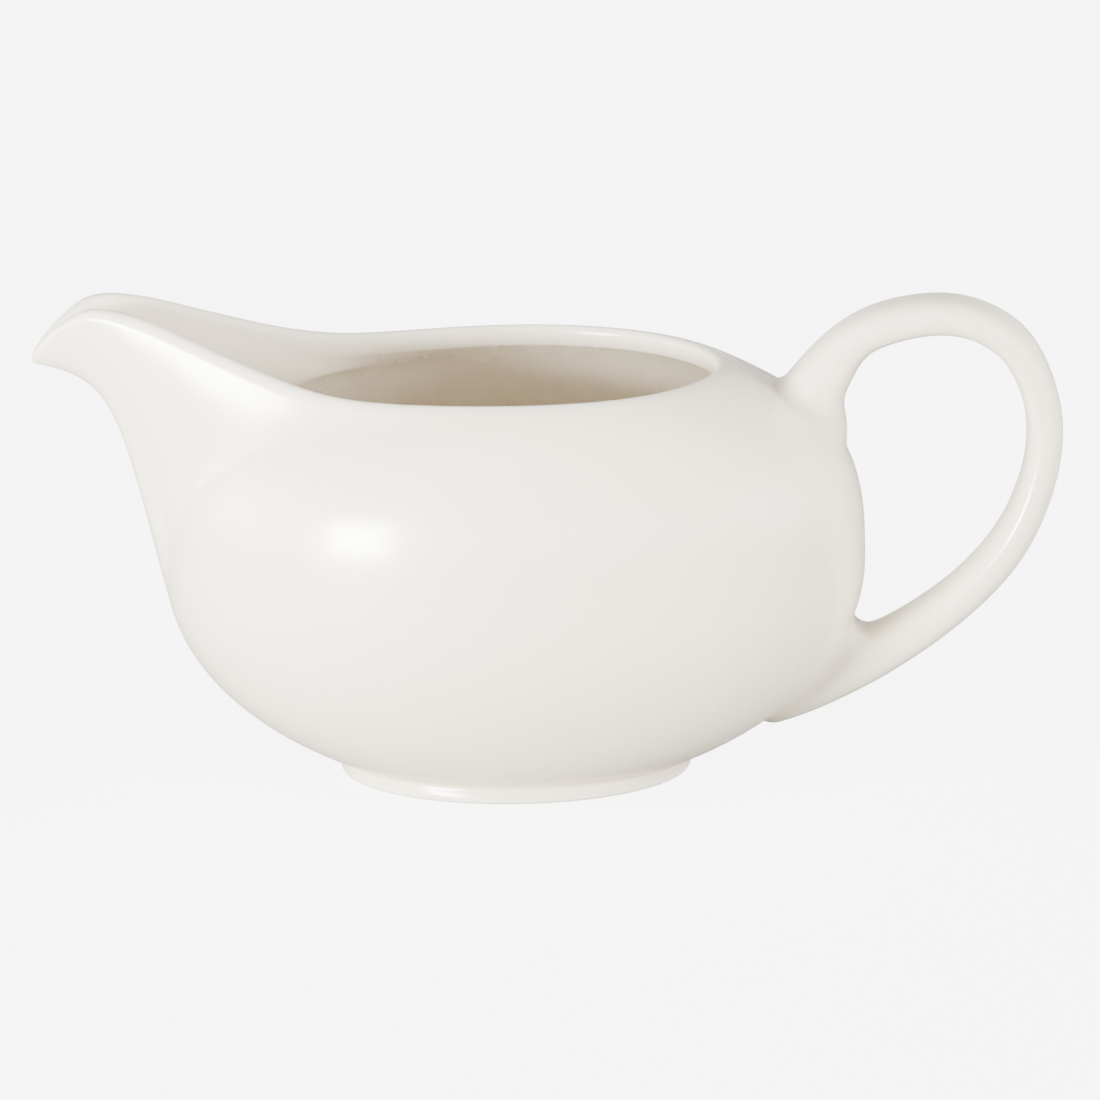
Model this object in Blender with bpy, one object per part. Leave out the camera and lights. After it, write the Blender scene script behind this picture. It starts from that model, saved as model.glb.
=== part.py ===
"""Gravy boat: an oval glazed pottery bowl with a beak spout, a foot ring and a strap handle.

The frame is +X towards the handle, the spout at -X, +Z up, and the origin on the standing plane
at the centre of the object's box. The piece is the same on both sides of the XZ plane. All sizes
are in metres.
"""
import math

import bmesh
import bpy
import numpy as np

# Body: an upright oval form round the axis x = BODY_X, standing on the plane z = 0.
BODY_X = -0.0070
EQUATOR_Z = 0.0430
BASE_Z = 0.0033
RIM_Z = 0.0827
FLOOR_Z = 0.0078
BASE_RISE = 0.0008
WALL = 0.0042
NECK_DEPTH = 0.0022

# Half-length (along X) and half-width (along Y) of the body at its equator, how far below and
# above the equator each of them would close, and the powers that shape the two halves.
BELLY_HALF = (0.0699, 0.0508)
CLOSE_BELOW = (0.0460, 0.0478)
CLOSE_ABOVE = (0.0470, 0.0492)
POWER_BELOW = 2.05
POWER_ABOVE = 3.0

# Guides that the upper body is lofted through, from the tip of the spout (share 0) round one side
# to the handle (share 1). Points are (distance towards the spout, distance from the mid-plane,
# height). Each row holds the share, the end of the outer skin at the lip, the top of the inner
# skin, how the outer skin leaves the lip, how the inner skin leaves the neck, the angle round the
# belly in degrees, the height where the loft leaves the belly, and how far it keeps on upwards.
LOFT_GUIDES = (
    (0.00, (0.0942, 0.0000, 0.0840), (0.0850, 0.0000, 0.0911), (-0.0180, 0.0000, -0.0034),
     (-0.0085, 0.0000, -0.0100), 0.0, 0.0348, 0.0350),
    (0.05, (0.0932, 0.0023, 0.0862), (0.0848, 0.0010, 0.0920), (-0.0158, 0.0020, -0.0053),
     (-0.0082, 0.0010, -0.0104), 2.8, 0.0352, 0.0346),
    (0.10, (0.0902, 0.0045, 0.0903), (0.0840, 0.0022, 0.0936), (-0.0110, 0.0030, -0.0085),
     (-0.0070, 0.0016, -0.0110), 5.6, 0.0364, 0.0340),
    (0.16, (0.0846, 0.0076, 0.0942), (0.0822, 0.0040, 0.0947), (-0.0052, 0.0016, -0.0115),
     (-0.0052, 0.0012, -0.0120), 9.0, 0.0400, 0.0290),
    (0.24, (0.0759, 0.0108, 0.0938), (0.0742, 0.0072, 0.0938), (-0.0022, 0.0022, -0.0140),
     (-0.0024, 0.0008, -0.0130), 14.0, 0.0480, 0.0200),
    (0.34, (0.0653, 0.0153, 0.0903), (0.0636, 0.0117, 0.0903), (-0.0020, 0.0034, -0.0145),
     (-0.0020, 0.0010, -0.0130), 20.8, 0.0590, 0.0110),
    (0.44, (0.0509, 0.0219, 0.0850), (0.0492, 0.0183, 0.0850), (-0.0014, 0.0026, -0.0090),
     (-0.0012, 0.0004, -0.0095), 31.0, 0.0685, 0.0045),
    (0.52, (0.0390, 0.0274, 0.0817), (0.0373, 0.0237, 0.0815), (0.0010, 0.0014, -0.0046),
     (0.0002, 0.0012, -0.0062), 42.5, 0.0728, 0.0032),
    (0.60, (0.0265, 0.0321, 0.0807), (0.0254, 0.0280, 0.0806), (0.0014, 0.0024, -0.0034),
     (0.0016, 0.0026, -0.0040), 57.0, 0.0722, 0.0032),
    (0.70, (0.0080, 0.0363, 0.0809), (0.0076, 0.0318, 0.0808), (0.0006, 0.0034, -0.0026),
     (0.0006, 0.0036, -0.0026), 79.0, 0.0715, 0.0032),
    (0.80, (-0.0130, 0.0355, 0.0810), (-0.0113, 0.0311, 0.0809), (-0.0010, 0.0036, -0.0026),
     (-0.0010, 0.0036, -0.0024), 105.0, 0.0712, 0.0033),
    (0.90, (-0.0345, 0.0250, 0.0810), (-0.0300, 0.0217, 0.0809), (-0.0030, 0.0034, -0.0026),
     (-0.0032, 0.0034, -0.0022), 138.0, 0.0710, 0.0034),
    (1.00, (-0.0466, 0.0000, 0.0810), (-0.0404, 0.0000, 0.0809), (-0.0052, 0.0000, -0.0024),
     (-0.0054, 0.0000, -0.0022), 180.0, 0.0710, 0.0036),
)
# Place of the belly angle in a flattened guide, after the share and four points.
ANGLE_COLUMN = 13
ROLL_HEIGHT = 0.0027
TIP_ROLL_HEIGHT = 0.0055
TIP_SHARE = 0.14
COLUMNS_PER_SIDE = 34
LOWER_ROWS = 12
UPPER_ROWS = 10
ROLL_ROWS = 5
INNER_UPPER_ROWS = 8
INNER_LOWER_ROWS = 12

# Sloping seam between the bowl and the spout, as two points (x, z) on it.
SEAM_LOW = (-0.0856, 0.0400)
SEAM_HIGH = (-0.0406, 0.0980)
SEAM_BLOCK = 0.12
GAP = 0.0003

# Foot ring.
FOOT_X = -0.0073
FOOT_HALF = (0.0350, 0.0292)
FOOT_WALL = 0.0042
FOOT_BEVEL = 0.0007
FOOT_SEGMENTS = 64

# Handle: stations as (outer edge x, z, inner edge x, z, half-width), from the shoulder round to
# the lower belly. The stations before UPPER_CUT and after LOWER_CUT belong to the luted joints.
HANDLE_STATIONS = (
    (0.0402, 0.0690, 0.0550, 0.0590, 0.0092),
    (0.0443, 0.0753, 0.0592, 0.0675, 0.0090),
    (0.0486, 0.0808, 0.0589, 0.0742, 0.0084),
    (0.0533, 0.0859, 0.0605, 0.0792, 0.0078),
    (0.0588, 0.0904, 0.0636, 0.0840, 0.0075),
    (0.0660, 0.0938, 0.0688, 0.0865, 0.0075),
    (0.0751, 0.0955, 0.0752, 0.0879, 0.0075),
    (0.0845, 0.0946, 0.0823, 0.0875, 0.0075),
    (0.0932, 0.0901, 0.0885, 0.0844, 0.0075),
    (0.0987, 0.0829, 0.0924, 0.0793, 0.0075),
    (0.1019, 0.0731, 0.0947, 0.0723, 0.0075),
    (0.1021, 0.0636, 0.0949, 0.0642, 0.0075),
    (0.0999, 0.0541, 0.0930, 0.0564, 0.0075),
    (0.0954, 0.0440, 0.0894, 0.0487, 0.0075),
    (0.0886, 0.0352, 0.0831, 0.0408, 0.0075),
    (0.0791, 0.0267, 0.0745, 0.0338, 0.0075),
    (0.0684, 0.0193, 0.0640, 0.0281, 0.0077),
    (0.0600, 0.0146, 0.0600, 0.0302, 0.0082),
    (0.0514, 0.0107, 0.0524, 0.0310, 0.0086),
    (0.0429, 0.0079, 0.0444, 0.0300, 0.0088),
)
UPPER_CUT = 3
LOWER_CUT = 16
SECTION_POWER = 2.6
SECTION_SEGMENTS = 20
STRAP_ROWS = 40
JOINT_ROWS = 8
FINE_STEPS = 500

GLAZE_ROUGHNESS = 0.22
SHARP_ANGLE = 40.0
GLAZE = {
    "bowl": (0.86, 0.84, 0.80),
    "spout": (0.87, 0.85, 0.81),
    "foot_ring": (0.80, 0.77, 0.72),
    "handle": (0.86, 0.84, 0.80),
    "upper_handle_joint": (0.84, 0.82, 0.78),
    "lower_handle_joint": (0.84, 0.82, 0.78),
}


def clear_scene():
    """Remove every object that the file holds."""
    for item in list(bpy.data.objects):
        bpy.data.objects.remove(item, do_unlink=True)


def spline(at, values, wanted):
    """Natural cubic spline through values at the places at, read at the wanted places."""
    count = len(at)
    matrix = np.eye(count)
    right = np.zeros_like(values)
    for i in range(1, count - 1):
        before = at[i] - at[i - 1]
        after = at[i + 1] - at[i]
        matrix[i, i - 1:i + 2] = (before, 2.0 * (before + after), after)
        rise = (values[i + 1] - values[i]) / after - (values[i] - values[i - 1]) / before
        right[i] = 6.0 * rise
    bend = np.linalg.solve(matrix, right)
    i = np.clip(np.searchsorted(at, wanted, side="right") - 1, 0, count - 2)
    span = (at[i + 1] - at[i])[:, None]
    share = ((wanted - at[i])[:, None]) / span
    rest = 1.0 - share
    curve = (rest ** 3 - rest) * bend[i] + (share ** 3 - share) * bend[i + 1]
    return rest * values[i] + share * values[i + 1] + curve * span ** 2 / 6.0


def bezier(start, start_pull, end_pull, end, count):
    """count + 1 points on a cubic Bezier curve."""
    share = np.linspace(0.0, 1.0, count + 1)[:, None]
    rest = 1.0 - share
    curve = rest ** 3 * start + 3.0 * rest ** 2 * share * start_pull
    return curve + 3.0 * rest * share ** 2 * end_pull + share ** 3 * end


def flat_guide(guide, side, share):
    """One guide as a row of numbers, on side 1 or mirrored to side -1, at a share."""
    outer, inner, outer_lean, inner_lean, angle, join_z, upright = guide[1:]
    row = []
    for point in (outer, inner, outer_lean, inner_lean):
        row.extend((point[0], side * point[1], point[2]))
    return [share, *row, math.radians(angle), join_z, upright]


def guide_rows(shares):
    """Guides read at the given shares, smooth across the mid-plane at both ends."""
    rows = [flat_guide(guide, 1, guide[0]) for guide in LOFT_GUIDES]
    before = [flat_guide(guide, -1, -guide[0]) for guide in LOFT_GUIDES[3:0:-1]]
    after = [flat_guide(guide, -1, 2.0 - guide[0]) for guide in LOFT_GUIDES[-2:-5:-1]]
    for row in before:
        row[ANGLE_COLUMN] = -row[ANGLE_COLUMN]
    for row in after:
        row[ANGLE_COLUMN] = 2.0 * math.pi - row[ANGLE_COLUMN]
    knots = np.array(before + rows + after)
    return spline(knots[:, 0], knots[:, 1:], np.asarray(shares))


def belly_half(z, axis, inset):
    """Half-size of the body's oval at height z, along X (axis 0) or Y (axis 1)."""
    reach = EQUATOR_Z - FLOOR_Z if inset > 0.0 else CLOSE_BELOW[axis]
    below = np.clip((EQUATOR_Z - z) / reach, 0.0, 1.0) ** POWER_BELOW
    above = np.clip((z - EQUATOR_Z) / (CLOSE_ABOVE[axis] - inset), 0.0, 1.0) ** POWER_ABOVE
    return (BELLY_HALF[axis] - inset) * np.sqrt(np.clip(1.0 - below - above, 0.0, 1.0))


def belly_point(angle, z, inset):
    """Point of the body's oval form at an angle round it and a height."""
    x = belly_half(z, 0, inset) * math.cos(angle)
    y = belly_half(z, 1, inset) * math.sin(angle)
    return np.stack((x, y, z), axis=-1)


def belly_slope(angle, z, inset):
    """Direction of the oval form's wall, scaled to rise by one."""
    step = 0.0002
    return (belly_point(angle, z, inset) - belly_point(angle, z - step, inset)) / step


def body_column(row):
    """Outer skin, rim roll and inner skin of the body on one column, from foot to floor."""
    outer_lip, inner_lip, outer_lean, inner_lean = row[:12].reshape(4, 3)
    angle, join_z, upright, share = row[12:]
    lower = belly_point(angle, np.linspace(BASE_Z, join_z, LOWER_ROWS + 1), 0.0)
    pull = lower[-1] + belly_slope(angle, join_z, 0.0) * upright
    upper = bezier(lower[-1], pull, outer_lip + outer_lean, outer_lip, UPPER_ROWS)
    tip = np.clip(share / TIP_SHARE, 0.0, 1.0)
    height = ROLL_HEIGHT + (TIP_ROLL_HEIGHT - ROLL_HEIGHT) * (1.0 - tip ** 2 * (3.0 - 2.0 * tip))
    lean = outer_lean / np.linalg.norm(outer_lean)
    up = np.array((0.0, 0.0, 1.0))
    roll = bezier(outer_lip, outer_lip - lean * height, inner_lip + up * height, inner_lip, ROLL_ROWS)
    neck = inner_lip - up * NECK_DEPTH
    inner_end = belly_point(angle, np.array(join_z), WALL)
    pull = inner_end + belly_slope(angle, np.array(join_z), WALL) * upright
    inner = bezier(neck, neck + inner_lean, pull, inner_end, INNER_UPPER_ROWS)
    slant = np.sin(np.linspace(0.0, 0.5 * math.pi, INNER_LOWER_ROWS + 1))[1:-1]
    bottom = belly_point(angle, join_z + (FLOOR_Z - join_z) * slant, WALL)
    return np.concatenate((lower[:-1], upper, roll[1:], inner, bottom))


def column_shares():
    """Shares of the way round, spout to handle."""
    return np.linspace(0.0, 1.0, COLUMNS_PER_SIDE + 1)


def body_columns():
    """Columns of one side of the body."""
    shares = column_shares()
    rows = np.column_stack((guide_rows(shares), shares))
    return [body_column(row) for row in rows]


def mirrored_columns(columns):
    """Both sides of the body as closed loops, from one side's columns."""
    left = [column * np.array((1.0, -1.0, 1.0)) for column in columns[1:-1]]
    return np.array(list(columns) + left[::-1])


def to_frame(points):
    """Turn spout-distance coordinates into the object's frame."""
    placed = points.copy()
    placed[..., 0] = BODY_X - points[..., 0]
    return placed


def grid_mesh(name, columns, bottom, top):
    """Closed mesh from a grid of columns, with a fan to a point at each end."""
    mesh = bpy.data.meshes.new(name)
    shape = bmesh.new()
    grid = [[shape.verts.new(point) for point in column] for column in columns]
    ends = [shape.verts.new(bottom), shape.verts.new(top)]
    around = len(grid)
    for i in range(around):
        here = grid[i]
        after = grid[(i + 1) % around]
        for j in range(len(here) - 1):
            shape.faces.new((here[j], here[j + 1], after[j + 1], after[j]))
        shape.faces.new((ends[0], here[0], after[0]))
        shape.faces.new((here[-1], ends[1], after[-1]))
    bmesh.ops.recalc_face_normals(shape, faces=shape.faces)
    shape.to_mesh(mesh)
    shape.free()
    return mesh


def add_object(name, mesh):
    """Put a mesh in the scene as an object of the same name."""
    item = bpy.data.objects.new(name, mesh)
    bpy.context.scene.collection.objects.link(item)
    return item


def finish_piece(item):
    """Smooth shading and the piece's own glaze."""
    item.data.shade_smooth()
    item.data.set_sharp_from_angle(angle=math.radians(SHARP_ANGLE))
    glaze = bpy.data.materials.new(item.name + "_glaze")
    glaze.use_nodes = True
    shader = glaze.node_tree.nodes["Principled BSDF"]
    shader.inputs["Base Color"].default_value = (*GLAZE[item.name], 1.0)
    shader.inputs["Roughness"].default_value = GLAZE_ROUGHNESS
    shader.inputs["Metallic"].default_value = 0.0
    item.data.materials.append(glaze)


def make_cutter(item):
    """Mark a guide solid that only cuts other pieces."""
    item.hide_render = True
    item.display_type = "WIRE"


def cut_with(item, cutter, operation="DIFFERENCE"):
    """Add a Boolean modifier."""
    cut = item.modifiers.new(cutter.name, "BOOLEAN")
    cut.operation = operation
    cut.solver = "EXACT"
    cut.object = cutter


def seam_solid(name, shift):
    """Big block on the spout's side of the seam, moved by shift towards the handle."""
    low = np.array(SEAM_LOW)
    high = np.array(SEAM_HIGH)
    along = (high - low) / np.linalg.norm(high - low)
    across = np.array((along[1], -along[0]))
    reach = SEAM_BLOCK
    base = low - along * reach * 0.5 + across * shift
    end = high + along * reach * 0.5 + across * shift
    outline = [base, end, end - across * reach, base - across * reach]
    shape = bmesh.new()
    near = [shape.verts.new((x, -reach, z)) for x, z in outline]
    face = shape.faces.new(near)
    moved = bmesh.ops.extrude_face_region(shape, geom=[face])["geom"]
    corners = [part for part in moved if isinstance(part, bmesh.types.BMVert)]
    bmesh.ops.translate(shape, verts=corners, vec=(0.0, 2.0 * reach, 0.0))
    bmesh.ops.recalc_face_normals(shape, faces=shape.faces)
    mesh = bpy.data.meshes.new(name)
    shape.to_mesh(mesh)
    shape.free()
    cutter = add_object(name, mesh)
    make_cutter(cutter)
    return cutter


def build_body():
    """Bowl and spout: one shell, parted on the seam with a gap."""
    columns = to_frame(mirrored_columns(body_columns()))
    base = (BODY_X, 0.0, BASE_Z + BASE_RISE)
    floor = (BODY_X, 0.0, FLOOR_Z)
    bowl = add_object("bowl", grid_mesh("bowl", columns, base, floor))
    spout = add_object("spout", grid_mesh("spout", columns, base, floor))
    cut_with(bowl, seam_solid("seam_for_bowl", 0.5 * GAP))
    cut_with(spout, seam_solid("seam_for_spout", -0.5 * GAP), "INTERSECT")
    finish_piece(bowl)
    finish_piece(spout)


def build_foot():
    """Foot ring: an oval band with its edges eased."""
    shape = bmesh.new()
    loops = []
    for z, inset in ((0.0, 0.0), (BASE_Z - GAP, 0.0), (BASE_Z - GAP, FOOT_WALL), (0.0, FOOT_WALL)):
        turn = np.linspace(0.0, 2.0 * math.pi, FOOT_SEGMENTS, endpoint=False)
        half_x = FOOT_HALF[0] - inset
        half_y = FOOT_HALF[1] - inset
        loops.append([shape.verts.new((FOOT_X + half_x * math.cos(a), half_y * math.sin(a), z))
                      for a in turn])
    for k, loop in enumerate(loops):
        above = loops[(k + 1) % len(loops)]
        for i in range(FOOT_SEGMENTS):
            j = (i + 1) % FOOT_SEGMENTS
            shape.faces.new((loop[i], loop[j], above[j], above[i]))
    bmesh.ops.recalc_face_normals(shape, faces=shape.faces)
    mesh = bpy.data.meshes.new("foot_ring")
    shape.to_mesh(mesh)
    shape.free()
    foot = add_object("foot_ring", mesh)
    bevel = foot.modifiers.new("eased_edges", "BEVEL")
    bevel.width = FOOT_BEVEL
    bevel.segments = 1
    bevel.angle_limit = math.radians(SHARP_ANGLE)
    finish_piece(foot)


def section_ring(station):
    """Closed loop of a strap section between its outer and inner edge."""
    outer = np.array((station[0], 0.0, station[1]))
    inner = np.array((station[2], 0.0, station[3]))
    centre = 0.5 * (outer + inner)
    across = 0.5 * (outer - inner)
    ring = []
    for i in range(SECTION_SEGMENTS):
        turn = 2.0 * math.pi * i / SECTION_SEGMENTS
        thick = math.copysign(abs(math.cos(turn)) ** (2.0 / SECTION_POWER), math.cos(turn))
        wide = math.copysign(abs(math.sin(turn)) ** (2.0 / SECTION_POWER), math.sin(turn))
        ring.append(centre + across * thick + np.array((0.0, station[4] * wide, 0.0)))
    return ring


def strap_mesh(name, stations):
    """Closed mesh of the strap through the given stations."""
    columns = np.array([section_ring(station) for station in stations]).swapaxes(0, 1)
    return grid_mesh(name, columns, columns[:, 0].mean(axis=0), columns[:, -1].mean(axis=0))


def strap_stations(first, last, rows):
    """Evenly spaced stations between two given stations, with the joint gap at cut ends."""
    stations = np.array(HANDLE_STATIONS)
    piece = spline(np.arange(len(stations)), stations, np.linspace(first, last, FINE_STEPS))
    centre = 0.5 * (piece[:, 0:2] + piece[:, 2:4])
    at = np.concatenate(([0.0], np.cumsum(np.linalg.norm(np.diff(centre, axis=0), axis=1))))
    start = 0.5 * GAP if first > 0 else 0.0
    end = at[-1] - (0.5 * GAP if last < len(HANDLE_STATIONS) - 1 else 0.0)
    wanted = np.linspace(start, end, rows + 1)
    return np.stack([np.interp(wanted, at, piece[:, i]) for i in range(5)], axis=1)


def build_body_clearance():
    """Solid a gap larger than the body's outer skin, for trimming what meets it."""
    outer_rows = LOWER_ROWS + UPPER_ROWS + 1
    columns = np.array([column[:outer_rows] for column in body_columns()])
    centre = np.array((0.0, 0.0, EQUATOR_Z))
    reach = np.linalg.norm(columns - centre, axis=2, keepdims=True)
    columns = centre + (columns - centre) * (1.0 + GAP / reach)
    columns = to_frame(mirrored_columns(columns))
    mesh = grid_mesh("body_clearance", columns, (BODY_X, 0.0, BASE_Z), (BODY_X, 0.0, RIM_Z))
    cutter = add_object("body_clearance", mesh)
    make_cutter(cutter)
    return cutter


def build_handle():
    """Strap handle, and the two luted joints that hold it to the bowl."""
    clearance = build_body_clearance()
    stations = strap_stations(UPPER_CUT, LOWER_CUT, STRAP_ROWS)
    finish_piece(add_object("handle", strap_mesh("handle", stations)))
    end = len(HANDLE_STATIONS) - 1
    joints = {"upper_handle_joint": (0, UPPER_CUT), "lower_handle_joint": (LOWER_CUT, end)}
    for name, (first, last) in joints.items():
        joint = add_object(name, strap_mesh(name, strap_stations(first, last, JOINT_ROWS)))
        cut_with(joint, clearance)
        finish_piece(joint)


def main():
    """Build every piece of the gravy boat."""
    clear_scene()
    build_body()
    build_foot()
    build_handle()


main()
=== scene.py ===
"""Glazed pottery gravy boat: the finished look, built round the fixed CAD frame.

One glazed skin stands for the bowl, the beak spout and the foot ring, because the real ones are one
casting. One strap stands for the handle and its two luted joints. The frame is +X towards the
handle, -X towards the spout and +Z up, with the origin on the standing plane. Lengths are in metres.
"""
import logging
import math
from dataclasses import dataclass, field
from enum import Enum

import bpy
import numpy as np
from mathutils import Matrix, Vector
from mathutils.bvhtree import BVHTree


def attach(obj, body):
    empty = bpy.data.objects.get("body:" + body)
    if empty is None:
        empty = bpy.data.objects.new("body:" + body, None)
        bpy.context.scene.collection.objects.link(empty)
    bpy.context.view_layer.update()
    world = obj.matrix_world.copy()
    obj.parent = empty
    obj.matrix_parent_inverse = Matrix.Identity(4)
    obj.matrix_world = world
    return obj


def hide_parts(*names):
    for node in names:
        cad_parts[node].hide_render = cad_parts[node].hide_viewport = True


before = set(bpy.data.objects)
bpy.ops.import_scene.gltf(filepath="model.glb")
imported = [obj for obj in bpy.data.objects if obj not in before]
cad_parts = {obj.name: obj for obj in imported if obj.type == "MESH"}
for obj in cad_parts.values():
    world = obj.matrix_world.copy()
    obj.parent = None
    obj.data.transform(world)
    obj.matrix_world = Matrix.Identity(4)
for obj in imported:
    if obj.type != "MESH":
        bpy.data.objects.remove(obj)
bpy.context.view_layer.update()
LOG = logging.getLogger("gravy_boat")
UP = np.array((0.0, 0.0, 1.0))
ACROSS = np.array((0.0, 1.0, 0.0))
MIRROR = np.array((1.0, -1.0, 1.0))
WHITE = (1.0, 1.0, 1.0, 1.0)
GLAZE_IOR = 1.5
# Middle span of a noise texture's values, which most of its surface falls in.
NOISE_SPAN = (0.3, 0.7)


class SkinPart(Enum):
    """Material slots of the body's skin."""

    GLAZE = 0
    BARE_CLAY = 1


class CoatMask(Enum):
    """Names of the point attributes that the glaze reads."""

    # Pooled glaze, partly painted shade: darker in the crease above the foot, on the inner floor and at
    # the handle's roots.
    POOL_AND_SHADE = "glaze_pooled"
    THIN = "glaze_thin"


# ---------------------------------------------------------------------------------------------
# Curves
# ---------------------------------------------------------------------------------------------


def natural_spline(at: np.ndarray, values: np.ndarray, wanted: np.ndarray) -> np.ndarray:
    """Read a natural cubic spline.

    Args:
        at: Rising places of the knots.
        values: One row of numbers for each knot.
        wanted: Places to read.

    Returns:
        One row of numbers for each wanted place.
    """
    count = len(at)
    matrix = np.eye(count)
    right = np.zeros_like(values)
    for i in range(1, count - 1):
        before = at[i] - at[i - 1]
        after = at[i + 1] - at[i]
        matrix[i, i - 1:i + 2] = (before, 2.0 * (before + after), after)
        rise = (values[i + 1] - values[i]) / after - (values[i] - values[i - 1]) / before
        right[i] = 6.0 * rise
    bend = np.linalg.solve(matrix, right)
    i = np.clip(np.searchsorted(at, wanted, side="right") - 1, 0, count - 2)
    span = (at[i + 1] - at[i])[:, None]
    share = (wanted - at[i])[:, None] / span
    rest = 1.0 - share
    curve = (rest ** 3 - rest) * bend[i] + (share ** 3 - share) * bend[i + 1]
    return rest * values[i] + share * values[i + 1] + curve * span ** 2 / 6.0


def bezier(start: np.ndarray, pull: np.ndarray, push: np.ndarray, end: np.ndarray,
           steps: int) -> np.ndarray:
    """Points on a cubic Bezier curve.

    Args:
        start: First point.
        pull: Control point of the start.
        push: Control point of the end.
        end: Last point.
        steps: Number of steps between the ends.

    Returns:
        steps + 1 points.
    """
    share = np.linspace(0.0, 1.0, steps + 1)[:, None]
    rest = 1.0 - share
    curve = rest ** 3 * start + 3.0 * rest ** 2 * share * pull
    return curve + 3.0 * rest * share ** 2 * push + share ** 3 * end


def eased(value: np.ndarray, low: float, high: float) -> np.ndarray:
    """Smooth step of value from 0 at low to 1 at high."""
    share = np.clip((value - low) / (high - low), 0.0, 1.0)
    return share * share * (3.0 - 2.0 * share)


def unit(vector: np.ndarray) -> np.ndarray:
    """The vector scaled to length one."""
    return vector / max(float(np.linalg.norm(vector)), 1e-12)


def path_lengths(line: np.ndarray) -> np.ndarray:
    """Distance along a line of points from its start to each point."""
    return np.concatenate(([0.0], np.cumsum(np.linalg.norm(np.diff(line, axis=0), axis=1))))


# ---------------------------------------------------------------------------------------------
# Meshes
# ---------------------------------------------------------------------------------------------


@dataclass
class SkinMesh:
    """A closed mesh made from a grid of columns, with a point closing each end."""

    name: str
    columns: np.ndarray
    first: np.ndarray
    last: np.ndarray
    masks: dict[CoatMask, np.ndarray] = field(default_factory=dict)
    clay_rows: tuple[int, int] = (0, 0)

    def faces(self) -> list[tuple[int, ...]]:
        """Faces of the grid and of its two end fans.

        Returns:
            Vertex indices of every face, facing outwards.
        """
        around, rows = self.columns.shape[:2]
        first = around * rows
        found: list[tuple[int, ...]] = []
        for i in range(around):
            after = (i + 1) % around
            for j in range(rows - 1):
                found.append((i * rows + j, i * rows + j + 1, after * rows + j + 1, after * rows + j))
            found.append((first, i * rows, after * rows))
            found.append((i * rows + rows - 1, first + 1, after * rows + rows - 1))
        return found

    def build(self) -> bpy.types.Object:
        """Make the object.

        Returns:
            A smooth-shaded object in the scene, with the masks as point attributes.
        """
        around, rows = self.columns.shape[:2]
        points = np.concatenate((self.columns.reshape(-1, 3), (self.first, self.last)))
        mesh = bpy.data.meshes.new(self.name)
        mesh.from_pydata(points.tolist(), [], self.faces())
        mesh.update()
        for mask, values in self.masks.items():
            layer = mesh.attributes.new(mask.value, "FLOAT", "POINT")
            layer.data.foreach_set("value", np.append(values.reshape(-1), (0.0, 0.0)).astype(np.float32))
        per_column = rows + 1
        clay = np.zeros(around * per_column, dtype=np.int32)
        for row in range(*self.clay_rows):
            clay[row::per_column] = SkinPart.BARE_CLAY.value
        mesh.polygons.foreach_set("material_index", clay)
        mesh.shade_smooth()
        skin = bpy.data.objects.new(self.name, mesh)
        bpy.context.scene.collection.objects.link(skin)
        return skin


# ---------------------------------------------------------------------------------------------
# Finishes
# ---------------------------------------------------------------------------------------------


@dataclass(frozen=True)
class Grain:
    """Size and character of one noise: features per metre, octaves and strength of the finer ones."""

    scale: float
    detail: float
    roughness: float


CLOUD_GRAIN = Grain(28.0, 3.0, 0.5)
WARMTH_GRAIN = Grain(90.0, 2.0, 0.6)
MOTTLE_GRAIN = Grain(260.0, 3.0, 0.6)
GLOSS_GRAIN = Grain(55.0, 4.0, 0.55)
RIPPLE_GRAIN = Grain(38.0, 2.0, 0.4)
PEEL_GRAIN = Grain(650.0, 2.0, 0.5)
PINHOLES_PER_METRE = 120.0
PINHOLE_REACH = 0.05
# How far the saturation, the pooled glaze with its painted shade, the thin coats and the roughness vary,
# as low and high ends.
WARMTH_RANGE = (0.98, 1.02)
MOTTLE_RANGE = (0.9, 1.0)
GLOSS_RANGE = (0.94, 1.08)
THIN_COAT_ROUGHNESS = 0.04


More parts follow.
